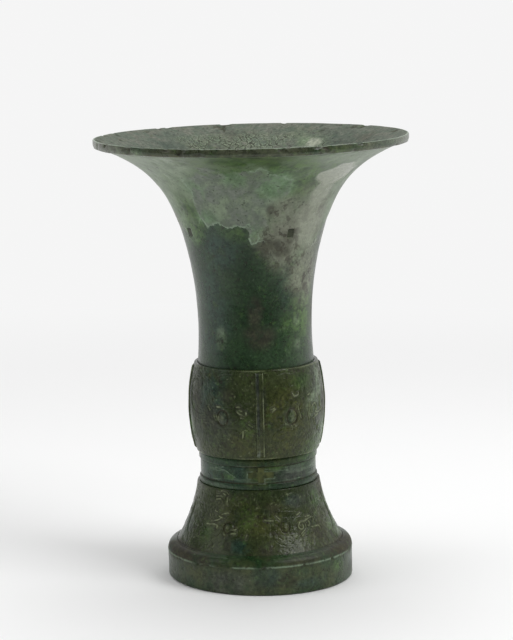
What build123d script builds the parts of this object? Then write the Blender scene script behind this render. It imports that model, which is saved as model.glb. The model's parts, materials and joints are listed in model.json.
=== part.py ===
from build123d import *
import math
import os

# Bronze gu vessel: flared neck, barrel, banded waist and hollow foot, each a cast section seated in the next.
# Millimetres, +Z up. The origin is the centre of the standing ring, on the plane that the vessel stands on.
# Sections are drawn on their own upright axis, then the whole casting is leaned and its ring is cut flat.

# Heights of the sections that show, from the standing plane up
RING_H = 14.3
SHOULDER_H = 4.6
FOOT_H = 30.9
BAND_H = 15.8
BULB_H = 45.4
NECK_H = 114.0

# Outside radii
FOOT_BOTTOM_R = 42.6
BAND_R = 29.4
NECK_R = 28.7             # at the neck's narrowest place
MOUTH_R = 79.0

# Steps from one section out to the next
RING_STEP = 4.6           # the ring stands out from the foot by this much
SHOULDER_LAND = 0.6       # flat rim of the ring round the foot
FOOT_LAND = 1.7           # ledge of the foot round the band
BULB_LAND = 1.7           # ledge of the barrel round the neck and over the band

# Curves
SHOULDER_ROUND = 1.3      # how far the ring's shoulder bulges from a straight slope
FOOT_HOLLOW = 1.8         # how far the foot's side curves in from a straight slope
BULB_SWELL = 3.0          # how far the barrel bulges between its ends
NARROW_UP = 17.0          # height of the neck's narrowest place above the barrel
FLARE_POWER = 8.5         # how late and how sharply the mouth turns out
RING_EDGE = 1.5           # rounding of the standing edge
LEAN_DEG = 1.3            # the casting leans to its left by this much

# Walls
WALL = 2.8
RING_WALL = 3.0
LIP_T = 2.7
FLOOR_T = 4.0

# Joints between the sections
FIT_GAP = 0.1
NECK_SOCKET = 4.0         # how deep the neck sits in the barrel
BAND_SOCKET = 4.0         # how deep the band sits in the foot
FOOT_SOCKET = 2.0         # how deep the foot sits in the ring
FLOOR_LEDGE = 1.2         # width of the ledges that trap the cup's floor

# Bowstring ridges of the band
UPPER_RIDGE_H = 4.0
LOWER_RIDGE_H = 3.3
RIDGE_ROUND = 0.7

# Upright flanges on the barrel
FLANGE_SIDES = ("front", "right", "back", "left")
FLANGE_W = 4.2
FLANGE_PROUD = 0.8
FLANGE_KEY = 1.2
FLANGE_END = 1.2          # bare barrel left above and below a flange
FACE_TURN_DEG = 2.6       # the front flange stands this far round to the right of the front

# Filled cross openings, centred between the band's ridges
CROSS_SIDES = ("front", "back")
CROSS_W = 13.0
CROSS_H = 8.2
CROSS_BAR = 3.2

# Square spacers cast into the walls
SPACER_COUNT = 4
SPACER_SIDE = 4.0
NECK_SPACER_UP = 68.0     # height above the barrel
NECK_SPACER_DEG = 31.0    # angle of the first one from the front, to the right
FOOT_SPACER_UP = 4.4      # height above the ring's shoulder
FOOT_SPACER_DEG = 66.0

# Eye bosses of the masks
BULB_EYE_R = 2.2
BULB_EYE_UP = 21.4        # height above the band
BULB_EYE_DEG = (-30.0, 30.0)    # angles of the front mask's eyes from the front, to the right
FOOT_EYE_R = 2.0
FOOT_EYE_UP = 12.8        # height above the ring's shoulder
FOOT_EYE_DEG = (-25.5, 20.5)
EYE_PROUD = 0.8
EYE_ROOT = 0.8            # how deep a boss is rooted in its wall
EYE_EDGE = 0.5            # rounding of a boss

# Drawing choices
FRONT_DEG = -90.0         # direction of the front, from +X
FLARE_STEPS = 12          # points that carry the flare's curve
FLARE_CROWDING = 1.6      # how much closer together they are near the lip
THROUGH_WALLS = 4         # length of a cutter through a wall, in wall thicknesses

# Levels that follow from these
SHOULDER_TOP_Z = RING_H + SHOULDER_H
FOOT_TOP_Z = SHOULDER_TOP_Z + FOOT_H
BAND_TOP_Z = FOOT_TOP_Z + BAND_H
BULB_TOP_Z = BAND_TOP_Z + BULB_H
HEIGHT = BULB_TOP_Z + NECK_H
LIP_Z = HEIGHT - LIP_T
RING_SEAT_Z = SHOULDER_TOP_Z - FOOT_SOCKET
BAND_SEAT_Z = FOOT_TOP_Z - BAND_SOCKET
NECK_SEAT_Z = BULB_TOP_Z - NECK_SOCKET
FLOOR_UNDER_Z = BAND_TOP_Z - FLOOR_T / 2
FLOOR_TOP_Z = BAND_TOP_Z + FLOOR_T / 2
NARROW_Z = BULB_TOP_Z + NARROW_UP
LOWER_RIDGE_Z = FOOT_TOP_Z + LOWER_RIDGE_H
UPPER_RIDGE_Z = BAND_TOP_Z - UPPER_RIDGE_H
CROSS_Z = (LOWER_RIDGE_Z + UPPER_RIDGE_Z) / 2


def neck_flare(z):
    """Outer radius and slope of the neck: a slow swell plus a late, sharp flare, half the growth each."""
    rise = LIP_Z - NARROW_Z
    grow = (MOUTH_R - NECK_R) / 2
    u = (z - NARROW_Z) / rise
    late = max(u, 0.0)
    radius = NECK_R + grow * (u ** 2 + late ** FLARE_POWER)
    slope = grow / rise * (2 * u + FLARE_POWER * late ** (FLARE_POWER - 1))
    return radius, slope


# Radii that follow from these
RING_R = FOOT_BOTTOM_R + RING_STEP
SHOULDER_TOP_R = FOOT_BOTTOM_R + FIT_GAP + SHOULDER_LAND
FOOT_IN_R = FOOT_BOTTOM_R - WALL
FOOT_TOP_R = BAND_R + FIT_GAP + FOOT_LAND
BAND_IN_R = BAND_R - WALL
FLOOR_R = BAND_IN_R + FLOOR_LEDGE
SPIGOT_R = neck_flare(BULB_TOP_Z)[0]

# Profiles of the curved sides as lower end, upper end and bulge, inwards where it is negative
SHOULDER = ((RING_R, RING_H), (SHOULDER_TOP_R, SHOULDER_TOP_Z), SHOULDER_ROUND)
FOOT_SIDE = ((FOOT_BOTTOM_R, SHOULDER_TOP_Z), (FOOT_TOP_R, FOOT_TOP_Z), -FOOT_HOLLOW)
BULB_SIDE = ((BAND_R + BULB_LAND, BAND_TOP_Z), (SPIGOT_R + FIT_GAP + BULB_LAND, BULB_TOP_Z), BULB_SWELL)
LOWER_RIDGE = ((BAND_R, FOOT_TOP_Z), (BAND_R, LOWER_RIDGE_Z), RIDGE_ROUND)
UPPER_RIDGE = ((BAND_R, UPPER_RIDGE_Z), (BAND_R, BAND_TOP_Z), RIDGE_ROUND)


def out_from(side, distance):
    """Point at a distance outwards from the middle of a side's chord, square to it."""
    (r0, z0), (r1, z1), _ = side
    chord = math.hypot(r1 - r0, z1 - z0)
    return (r0 + r1) / 2 + distance * (z1 - z0) / chord, (z0 + z1) / 2 - distance * (r1 - r0) / chord


def bulge(side):
    """Arc of a curved side, from its lower end to its upper one."""
    start, end, sagitta = side
    return ThreePointArc(start, out_from(side, sagitta), end)


def on_side(side, z, grow=0.0):
    """Radius and slope of a curved side at a height, on a surface grown outwards by grow."""
    (r0, z0), (r1, z1), sagitta = side
    facing = math.copysign(1, sagitta)
    arc_r = (math.hypot(r1 - r0, z1 - z0) ** 2 / 4 + sagitta ** 2) / (2 * abs(sagitta))
    centre_r, centre_z = out_from(side, sagitta - facing * arc_r)
    out = facing * math.sqrt((arc_r + facing * grow) ** 2 - (z - centre_z) ** 2)
    return centre_r + out, (centre_z - z) / out


def turned(*edges):
    """Solid of revolution about the axis from the edges of its half section, in order round the outline."""
    outline = Wire(edge for part in edges for edge in part.edges())
    return revolve(Plane.XZ * make_face(outline), Axis.Z)


def around(deg):
    """Turn about the axis that carries +X to an angle counted from the front, to the right."""
    return Rot(0, 0, FRONT_DEG + deg)


def ring_of(block, first_deg, count):
    """Copies of a block at +X, evenly round the axis from an angle counted from the front."""
    return [around(first_deg + 360 / count * i) * block for i in range(count)]


def make_neck():
    """Flared neck on a straight spigot, squared at the lip, with its wall at an even thickness."""
    outside = []
    inside = []
    for i in range(FLARE_STEPS + 1):
        z = LIP_Z - (LIP_Z - BULB_TOP_Z) * (1 - i / FLARE_STEPS) ** FLARE_CROWDING
        radius, slope = neck_flare(z)
        tilt = math.atan(slope)
        outside.append((radius, z))
        inside.append((radius - WALL * math.cos(tilt), z + WALL * math.sin(tilt)))
    inside[0] = (SPIGOT_R - WALL, BULB_TOP_Z)
    inside[-1] = (inside[-1][0], HEIGHT)
    return turned(
        Spline(outside),
        Polyline(outside[-1], (MOUTH_R, HEIGHT), inside[-1]),
        Spline(inside[::-1]),
        Polyline(inside[0], (SPIGOT_R - WALL, NECK_SEAT_Z), (SPIGOT_R, NECK_SEAT_Z), outside[0]),
    )


def make_bulb():
    """Barrel section with a socket for the neck on top and a rebate for the cup's floor underneath."""
    bottom, top, _ = BULB_SIDE
    socket_r = SPIGOT_R + FIT_GAP
    rebate_r = FLOOR_R + FIT_GAP
    middle_z = (BAND_TOP_Z + BULB_TOP_Z) / 2
    seat_in = (SPIGOT_R - WALL, NECK_SEAT_Z)
    rebate_in = (BAND_IN_R, FLOOR_TOP_Z)
    return turned(
        bulge(BULB_SIDE),
        Polyline(top, (socket_r, BULB_TOP_Z), (socket_r, NECK_SEAT_Z), seat_in),
        ThreePointArc(seat_in, (on_side(BULB_SIDE, middle_z, -WALL)[0], middle_z), rebate_in),
        Polyline(rebate_in, (rebate_r, FLOOR_TOP_Z), (rebate_r, BAND_TOP_Z), bottom),
    )


def make_floor():
    """Disc that closes the cup, half in the band's rebate and half in the barrel's."""
    return Pos(0, 0, BAND_TOP_Z) * Cylinder(FLOOR_R, FLOOR_T)


def make_band():
    """Plain band between two bowstring ridges, with a spigot below and a rebate for the cup's floor on top."""
    rebate_r = FLOOR_R + FIT_GAP
    return turned(
        Polyline((BAND_R, BAND_SEAT_Z), (BAND_R, FOOT_TOP_Z)),
        bulge(LOWER_RIDGE),
        Polyline((BAND_R, LOWER_RIDGE_Z), (BAND_R, UPPER_RIDGE_Z)),
        bulge(UPPER_RIDGE),
        Polyline((BAND_R, BAND_TOP_Z), (rebate_r, BAND_TOP_Z), (rebate_r, FLOOR_UNDER_Z)),
        Polyline((rebate_r, FLOOR_UNDER_Z), (BAND_IN_R, FLOOR_UNDER_Z), (BAND_IN_R, BAND_SEAT_Z)),
        Polyline((BAND_IN_R, BAND_SEAT_Z), (BAND_R, BAND_SEAT_Z)),
    )


def make_foot():
    """Flaring foot with a socket for the band on top and a straight spigot for the ring below."""
    socket_r = BAND_R + FIT_GAP
    return turned(
        Polyline((FOOT_BOTTOM_R, RING_SEAT_Z), (FOOT_BOTTOM_R, SHOULDER_TOP_Z)),
        bulge(FOOT_SIDE),
        Polyline((FOOT_TOP_R, FOOT_TOP_Z), (socket_r, FOOT_TOP_Z), (socket_r, BAND_SEAT_Z)),
        Polyline((socket_r, BAND_SEAT_Z), (BAND_IN_R, BAND_SEAT_Z), (FOOT_IN_R, RING_SEAT_Z)),
        Polyline((FOOT_IN_R, RING_SEAT_Z), (FOOT_BOTTOM_R, RING_SEAT_Z)),
    )


def make_ring():
    """Upright ring with a rounded shoulder and a seat for the foot, long enough to be cut flat once leaned."""
    socket_r = FOOT_BOTTOM_R + FIT_GAP
    ring_in = RING_R - RING_WALL
    below = -2 * RING_R * math.tan(math.radians(LEAN_DEG))
    return turned(
        Polyline((RING_R, below), (RING_R, RING_H)),
        bulge(SHOULDER),
        Polyline((SHOULDER_TOP_R, SHOULDER_TOP_Z), (socket_r, SHOULDER_TOP_Z), (socket_r, RING_SEAT_Z)),
        Polyline((socket_r, RING_SEAT_Z), (FOOT_IN_R, RING_SEAT_Z), (FOOT_IN_R, RING_SEAT_Z - RING_WALL)),
        Polyline((FOOT_IN_R, RING_SEAT_Z - RING_WALL), (ring_in, RING_H - RING_WALL), (ring_in, below)),
        Polyline((ring_in, below), (RING_R, below)),
    )


def flange_bar(gap):
    """Bar along the barrel at +X, keyed into the wall and standing proud of it, its root grown by gap."""
    low = BAND_TOP_Z + FLANGE_END - gap
    high = BULB_TOP_Z - FLANGE_END + gap
    arcs = []
    for grow in (-FLANGE_KEY - gap, FLANGE_PROUD):
        heights = (low, (low + high) / 2, high)
        arcs.append(ThreePointArc(*[(on_side(BULB_SIDE, z, grow)[0], z) for z in heights]))
    root, crest = arcs
    top_end = Line(root @ 1, crest @ 1)
    bottom_end = Line(crest @ 0, root @ 0)
    outline = Wire([root.edge(), top_end.edge(), crest.edge(), bottom_end.edge()])
    return extrude(Plane.XZ * make_face(outline), FLANGE_W / 2 + gap, both=True)


def cross_bar(gap):
    """Cross-shaped prism through the band's wall at +X, shrunk all round by gap."""
    reach = THROUGH_WALLS * WALL
    upright = Box(reach, CROSS_BAR - 2 * gap, CROSS_H - 2 * gap)
    level = Box(reach, CROSS_W - 2 * gap, CROSS_BAR - 2 * gap)
    return Pos(BAND_R, 0, CROSS_Z) * (upright + level)


def spacer_block(radius, z, gap):
    """Square block through a wall at +X, shrunk all round by gap."""
    side = SPACER_SIDE - 2 * gap
    return Pos(radius - WALL / 2, 0, z) * Box(THROUGH_WALLS * WALL, side, side)


def eye_boss(eye_r, radius, slope, z):
    """Low round stud at +X, square to a wall of this slope and rooted in it."""
    tilt = math.degrees(math.atan(-slope))
    stud = Cylinder(eye_r, EYE_ROOT + EYE_PROUD)
    stud = fillet(stud.edges().group_by(Axis.Z)[-1], EYE_EDGE)
    return Pos(radius, 0, z) * Rot(0, 90 - tilt, 0) * Pos(0, 0, (EYE_PROUD - EYE_ROOT) / 2) * stud


def eyes(side, eye_r, z, turns_deg):
    """Two bosses to each mask on a curved side, one mask in front and one behind."""
    boss = eye_boss(eye_r, *on_side(side, z), z)
    return [eye for turn in turns_deg for eye in ring_of(boss, turn, 2)]


def with_spacers(wall, radius, z, first_deg):
    """The wall with square holes through it, and the spacers that fill them, flush on both sides."""
    holes = ring_of(spacer_block(radius, z, 0), first_deg, SPACER_COUNT)
    blocks = ring_of(spacer_block(radius, z, FIT_GAP), first_deg, SPACER_COUNT)
    return wall - holes, Compound(children=[wall & block for block in blocks])


def leaned(shape):
    """The shape on the casting's leaning axis."""
    return Rot(0, -LEAN_DEG, 0) * shape


def stand_flat(ring):
    """The leaned ring, cut level at the standing plane with its outer edge rounded."""
    under = Box(4 * RING_R, 4 * RING_R, HEIGHT, align=(Align.CENTER, Align.CENTER, Align.MAX))
    ring = ring - under
    standing = ring.faces().sort_by(Axis.Z)[0]
    return fillet(standing.outer_wire().edges(), RING_EDGE)


def build():
    """Every node of the vessel by name, in place."""
    nodes = {}
    spot_z = BULB_TOP_Z + NECK_SPACER_UP
    neck, chips = with_spacers(make_neck(), neck_flare(spot_z)[0], spot_z, NECK_SPACER_DEG)
    nodes["trumpet_neck"] = neck
    nodes["neck_spacers"] = chips

    slots = ring_of(flange_bar(FIT_GAP), FACE_TURN_DEG, len(FLANGE_SIDES))
    bulb_eyes = eyes(BULB_SIDE, BULB_EYE_R, BAND_TOP_Z + BULB_EYE_UP, BULB_EYE_DEG)
    nodes["bulb_shell"] = make_bulb() + bulb_eyes - slots
    flanges = ring_of(flange_bar(0), FACE_TURN_DEG, len(FLANGE_SIDES))
    for side, flange in zip(FLANGE_SIDES, flanges):
        nodes[f"flange_{side}"] = flange

    nodes["cup_floor"] = make_floor()
    band = make_band()
    nodes["waist_band"] = band - ring_of(cross_bar(0), FACE_TURN_DEG, len(CROSS_SIDES))
    plugs = ring_of(cross_bar(FIT_GAP), FACE_TURN_DEG, len(CROSS_SIDES))
    for side, plug in zip(CROSS_SIDES, plugs):
        nodes[f"cross_plug_{side}"] = band & plug

    spot_z = SHOULDER_TOP_Z + FOOT_SPACER_UP
    foot, chips = with_spacers(make_foot(), on_side(FOOT_SIDE, spot_z)[0], spot_z, FOOT_SPACER_DEG)
    nodes["foot"] = foot + eyes(FOOT_SIDE, FOOT_EYE_R, SHOULDER_TOP_Z + FOOT_EYE_UP, FOOT_EYE_DEG)
    nodes["foot_spacers"] = chips

    nodes = {name: leaned(shape) for name, shape in nodes.items()}
    nodes["foot_ring"] = stand_flat(leaned(make_ring()))
    return nodes


os.makedirs("parts", exist_ok=True)
for name, shape in build().items():
    export_step(shape, f"parts/{name}.step")
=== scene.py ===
import collections
import functools
import itertools
import json
import math

import bpy
import numpy as np
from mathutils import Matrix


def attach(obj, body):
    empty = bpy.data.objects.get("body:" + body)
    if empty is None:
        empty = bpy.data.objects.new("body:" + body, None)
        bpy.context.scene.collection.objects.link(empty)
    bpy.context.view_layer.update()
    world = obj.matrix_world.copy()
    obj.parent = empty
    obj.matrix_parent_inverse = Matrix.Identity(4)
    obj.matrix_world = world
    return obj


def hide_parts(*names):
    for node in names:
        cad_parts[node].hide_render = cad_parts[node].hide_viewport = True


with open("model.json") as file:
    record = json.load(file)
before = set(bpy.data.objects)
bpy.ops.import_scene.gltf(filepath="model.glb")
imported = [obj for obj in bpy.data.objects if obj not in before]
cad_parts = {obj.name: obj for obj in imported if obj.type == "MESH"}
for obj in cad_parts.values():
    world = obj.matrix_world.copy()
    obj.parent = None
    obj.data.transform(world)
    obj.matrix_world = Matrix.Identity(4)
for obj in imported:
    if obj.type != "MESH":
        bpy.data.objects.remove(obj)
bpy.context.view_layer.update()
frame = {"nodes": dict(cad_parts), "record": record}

# Bronze gu vessel. Sizes are in mm on the casting's own upright axis.
# Angles are in degrees and count from the front, to the right.
MM = 0.001

# Shape of the casting, the same as the solids have it
RING_H = 14.3
SHOULDER_H = 4.6
FOOT_H = 30.9
BAND_H = 15.8
BULB_H = 45.4
NECK_H = 114.0
FOOT_BOTTOM_R = 42.6
BAND_R = 29.4
NECK_R = 28.7
MOUTH_R = 79.0
RING_STEP = 4.6
SHOULDER_LAND = 0.6
FOOT_LAND = 1.7
BULB_LAND = 1.7
SHOULDER_ROUND = 1.3
FOOT_HOLLOW = 1.8
BULB_SWELL = 3.0
NARROW_UP = 17.0
FLARE_POWER = 8.5
RING_EDGE = 1.5
LEAN_DEG = 1.3
WALL = 2.8
RING_WALL = 3.0
LIP_T = 2.7
FLOOR_T = 4.0
FIT_GAP = 0.1
NECK_SOCKET = 4.0
BAND_SOCKET = 4.0
FOOT_SOCKET = 2.0
FLOOR_LEDGE = 1.2
UPPER_RIDGE_H = 4.0
LOWER_RIDGE_H = 3.3
FLANGE_SIDES = ("front", "right", "back", "left")
FLANGE_W = 4.2
FLANGE_PROUD = 0.8
FLANGE_KEY = 1.2
FLANGE_END = 1.2
FACE_TURN_DEG = 2.6
CROSS_W = 13.0
CROSS_H = 8.2
CROSS_BAR = 3.2
SPACER_COUNT = 4
SPACER_SIDE = 4.0
NECK_SPACER_UP = 68.0
NECK_SPACER_DEG = 31.0
FOOT_SPACER_UP = 4.4
FOOT_SPACER_DEG = 66.0
BULB_EYE_UP = 21.4
BULB_EYE_DEG = (-30.0, 30.0)
FOOT_EYE_UP = 12.8
FOOT_EYE_DEG = (-25.5, 20.5)

# Levels and radii that follow
SHOULDER_TOP_Z = RING_H + SHOULDER_H
FOOT_TOP_Z = SHOULDER_TOP_Z + FOOT_H
BAND_TOP_Z = FOOT_TOP_Z + BAND_H
BULB_TOP_Z = BAND_TOP_Z + BULB_H
HEIGHT = BULB_TOP_Z + NECK_H
LIP_Z = HEIGHT - LIP_T
RING_SEAT_Z = SHOULDER_TOP_Z - FOOT_SOCKET
BAND_SEAT_Z = FOOT_TOP_Z - BAND_SOCKET
NECK_SEAT_Z = BULB_TOP_Z - NECK_SOCKET
FLOOR_UNDER_Z = BAND_TOP_Z - FLOOR_T / 2
FLOOR_TOP_Z = BAND_TOP_Z + FLOOR_T / 2
NARROW_Z = BULB_TOP_Z + NARROW_UP
LOWER_RIDGE_Z = FOOT_TOP_Z + LOWER_RIDGE_H
UPPER_RIDGE_Z = BAND_TOP_Z - UPPER_RIDGE_H
CROSS_Z = (LOWER_RIDGE_Z + UPPER_RIDGE_Z) / 2
RING_R = FOOT_BOTTOM_R + RING_STEP
SHOULDER_TOP_R = FOOT_BOTTOM_R + FIT_GAP + SHOULDER_LAND
FOOT_IN_R = FOOT_BOTTOM_R - WALL
FOOT_TOP_R = BAND_R + FIT_GAP + FOOT_LAND
BAND_IN_R = BAND_R - WALL
FLOOR_R = BAND_IN_R + FLOOR_LEDGE
REBATE_R = FLOOR_R + FIT_GAP
LEAN = math.radians(LEAN_DEG)

# Relief and wear
RAISE = 0.28              # how far a band of a mask stands out from the ground
GROOVE = 0.38             # depth of a cut line
LINE_HALF = 0.27          # half width of a cut line
STAND_RISE = 0.4          # how far a line that wear has left stands out
STAND_HALF = 0.3          # half width of such a line
EYE_RISE = 1.0            # how far an eye stands out
MASK_SWAY = 0.25          # how far the lines of a mask stray
CRUMB = 0.1               # height of fine crumbs on the masks
SPIRAL_CELL = 4.5         # side of one square spiral of the ground
SPIRAL_TURNS = 1.75
DENT = 0.16               # unevenness of the plain walls
CRUST_RISE = 0.22         # thickness of the pale crust
CRUST_LOBE = 1.8          # depth of the scallops of its edge
CRUST_SWAY = 1.6          # slower wander of that edge
REACH = 6.0               # how far on each side of its edge the depth of a crust or flake is kept
LIP_LAP = 0.9             # how far the lip's dark bead reaches round below
LIP_BEAD = 0.9            # how far the bead stands out
LIP_DEEP = 8.0            # how far in from the mouth's edge the lip's wear shows
LIP_NICK = 0.7            # depth of the lip's nicks
LIP_GROOVE = 0.3          # depth of the line below the bead
LIP_UNDER_Z = LIP_Z - LIP_LAP
RING_BEAD = 0.18          # worn bead along the ring's top edge, its nicks, and the groove above it
RING_NICK = 0.6
RING_GROOVE = 0.15
FEATHER = 0.5             # how far the ring's thin upper edge climbs the foot
POCKET = 0.6              # depth to which a wall stands back under a chip or a plug
POCKET_LAP = 0.25         # how far the wall laps over a chip's or plug's edge
NEAR_TURN = 0.8           # radians to each side within which a wall counts as facing a chip's or plug's way

# Kinds of surface: outside, inside the cup or the foot, and the faces of joints
OUT, IN, JOINT = 1, 2, 0

# Steps of the meshes round the vessel, then those of the cup's floor and the flanges
NECK_COUNT = 420
BULB_HALF_COUNT = 520
BAND_COUNT = 720
FOOT_HALF_COUNT = 600
RING_COUNT = 640
FLOOR_COUNT = 160
FLOOR_TOP_RINGS = 40
FLOOR_UNDER_RINGS = 12
FLOOR_MIDDLE_R = 0.8      # radius of the flat middle that closes the disc
FLANGE_ACROSS = 33
FLANGE_UP = 150


# Random fields

LATTICE_SIDE = 32
LATTICE = np.random.default_rng(11).uniform(-1, 1, (LATTICE_SIDE,) * 3)
SEED_SHIFT = 7.3          # how far apart the fields of two seeds lie
ROUGH_PEAK = 1.4          # about the most that the layers of rough noise come to


def smoothstep(low, high, value):
    """0 below low, 1 above high and smooth between; falls instead where low is the larger."""
    t = np.clip((value - low) / (high - low), 0, 1)
    return t * t * (3 - 2 * t)


def hump(away, width):
    """1 where away is 0, fading to both sides over about a width."""
    return np.exp(-(away / width) ** 2)


def turned(angle, centre=0.0, period=360):
    """Turn to angles from a centre that comes again with each period, at most half a period either way."""
    return (angle - centre + period / 2) % period - period / 2


def noise(place, size, seed):
    """Smooth random field from -1 to 1 at places in mm, with blobs about size across."""
    at = place / size + SEED_SHIFT * seed
    cell = np.floor(at).astype(int)
    part = at - cell
    part = part * part * (3 - 2 * part)
    total = 0.0
    for corner in itertools.product((0, 1), repeat=3):
        weight = np.prod(np.where(corner, part, 1 - part), axis=-1)
        index = (cell + corner) % LATTICE_SIDE
        total = total + weight * LATTICE[index[..., 0], index[..., 1], index[..., 2]]
    return total


def rough_noise(place, size, seed):
    """Three layers of noise, each half as large and half as strong as the one before."""
    return sum(noise(place, size / 2 ** k, seed + k) / 2 ** k for k in range(3)) / ROUGH_PEAK


# Profiles

def neck_flare(z):
    """Outer radius and slope of the neck at heights: a slow swell plus a late, sharp flare."""
    rise = LIP_Z - NARROW_Z
    grow = (MOUTH_R - NECK_R) / 2
    u = (z - NARROW_Z) / rise
    late = np.maximum(u, 0.0)
    radius = NECK_R + grow * (u ** 2 + late ** FLARE_POWER)
    slope = grow / rise * (2 * u + FLARE_POWER * late ** (FLARE_POWER - 1))
    return radius, slope


SPIGOT_R = float(neck_flare(np.array(BULB_TOP_Z))[0])
SPIGOT_IN_R = SPIGOT_R - WALL

# Curved sides as lower end, upper end and bulge, inwards where it is negative
SHOULDER = ((RING_R, RING_H), (SHOULDER_TOP_R, SHOULDER_TOP_Z), SHOULDER_ROUND)
FOOT_SIDE = ((FOOT_BOTTOM_R, SHOULDER_TOP_Z), (FOOT_TOP_R, FOOT_TOP_Z), -FOOT_HOLLOW)
BULB_SIDE = ((BAND_R + BULB_LAND, BAND_TOP_Z), (SPIGOT_R + FIT_GAP + BULB_LAND, BULB_TOP_Z), BULB_SWELL)
BULB_INSIDE = ((BAND_IN_R, FLOOR_TOP_Z), (SPIGOT_IN_R, NECK_SEAT_Z), BULB_SWELL + BULB_LAND)
ARC_POINTS = 60

# A bowstring ridge from its lower to its upper side: how far it stands out, and the share of its height
RIDGE_SHAPE = ((0, 0), (0.6, 0.03), (0.65, 0.12), (0.65, 0.7), (0.5, 0.9), (0, 1))


def arc(side):
    """Points of a curved side from its lower end to its upper one."""
    start, end, sagitta = (np.array(part) for part in side)
    chord = np.linalg.norm(end - start)
    along = (end - start) / chord
    out = np.array([along[1], -along[0]])
    facing = math.copysign(1, sagitta)
    radius = (chord ** 2 / 4 + sagitta ** 2) / (2 * abs(sagitta))
    half = math.asin(chord / 2 / radius)
    turn = np.linspace(-half, half, ARC_POINTS)[:, None]
    centre = (start + end) / 2 + out * (sagitta - facing * radius)
    return centre + radius * (np.sin(turn) * along + facing * np.cos(turn) * out)


def radius_on(side, z):
    """Radius of a curved side at heights."""
    points = arc(side)
    return np.interp(z, points[:, 1], points[:, 0])


def resampled(points, step):
    """Points about step apart along a polyline, without its last one."""
    points = np.asarray(points, float)
    along = np.concatenate([[0], np.cumsum(np.linalg.norm(np.diff(points, axis=0), axis=1))])
    count = max(1, round(along[-1] / step))
    at = np.linspace(0, along[-1], count + 1)[:-1]
    return np.stack([np.interp(at, along, points[:, k]) for k in range(2)], 1)


def section(runs, soft):
    """Closed half section from runs of points, step and kind: its stations, outward directions and kinds.

    Each run goes on to the first point of the next. Runs in soft have their end rounded over a reach."""
    loop = []
    kinds = []
    corners = []
    for index, (points, step, kind) in enumerate(runs):
        end = runs[(index + 1) % len(runs)][0][0]
        part = resampled([*points, end], step)
        loop.extend(part)
        kinds.extend([kind] * len(part))
        if index in soft:
            corners.append((len(loop), soft[index]))
    loop = np.array(loop)
    size = len(loop)
    rounded = loop.copy()
    for corner, reach in corners:
        tip = loop[corner % size]
        ends = []
        for way in (-1, 1):
            arm = loop[(corner + 2 * way) % size] - tip
            ends.append(tip + reach * arm / np.linalg.norm(arm))
        for way in (-1, 0, 1):
            for step in range(1, size // 4) if way else (0,):
                index = (corner + way * step) % size
                away = np.linalg.norm(loop[index] - tip)
                if away >= reach:
                    break
                t = 0.5 + way * away / reach / 2
                rounded[index] = (1 - t) ** 2 * ends[0] + 2 * t * (1 - t) * tip + t ** 2 * ends[1]
    ahead = np.roll(rounded, -1, 0) - np.roll(rounded, 1, 0)
    out = np.stack([ahead[:, 1], -ahead[:, 0]], 1)
    return rounded, out / np.linalg.norm(out, axis=1, keepdims=True), np.array(kinds)


# Meshes

def leaned(x, y, z):
    """Places on the casting's leaning axis, from places on its upright one."""
    return np.stack([math.cos(LEAN) * x - math.sin(LEAN) * z, y, math.sin(LEAN) * x + math.cos(LEAN) * z], -1)


def closed_mesh(name, rings, joined, fields):
    """Mesh over rings of points in mm, [ring, place on the ring]. The rings join end to end or are capped."""
    count, size, _ = rings.shape
    steps = count if joined else count - 1
    ring, spot = np.meshgrid(np.arange(steps), np.arange(size), indexing="ij")
    corners = [(ring, spot), (ring + 1, spot), (ring + 1, spot + 1), (ring, spot + 1)]
    quads = np.stack([r % count * size + s % size for r, s in corners], -1).reshape(-1, 4)
    maps = np.stack([np.stack([r / steps, s / size], -1) for r, s in corners], -2).reshape(-1, 2)
    faces = quads.tolist()
    if not joined:
        faces.append(list(range(size)))
        faces.append([(count - 1) * size + i for i in reversed(range(size))])
    mesh = bpy.data.meshes.new(name)
    mesh.from_pydata((rings.reshape(-1, 3) * MM).tolist(), [], faces)
    smooth = np.arange(len(faces)) < len(quads)
    mesh.polygons.foreach_set("use_smooth", smooth)
    layer = mesh.uv_layers.new(name="OFBake")
    places = np.zeros((len(mesh.loops), 2), np.float32)
    places[:len(maps)] = maps
    layer.uv.foreach_set("vector", places.ravel())
    for key, values in fields.items():
        held = mesh.attributes.new(key, "FLOAT", "POINT")
        held.data.foreach_set("value", np.asarray(values, np.float32).ravel())
    mesh.update()
    piece = bpy.data.objects.new(name, mesh)
    bpy.context.scene.collection.objects.link(piece)
    return piece


def placed(piece, node, slot, finish=None):
    """The piece stands for a CAD node, rides with the vessel and takes the slot's finish or another."""
    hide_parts(node)
    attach(piece, "root")
    piece.data.materials.append(MATERIALS[finish or slot])


# Ornament: bands of the masks as a half width and a centre line,
# in mm from a mask's middle and from the register's foot

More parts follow.
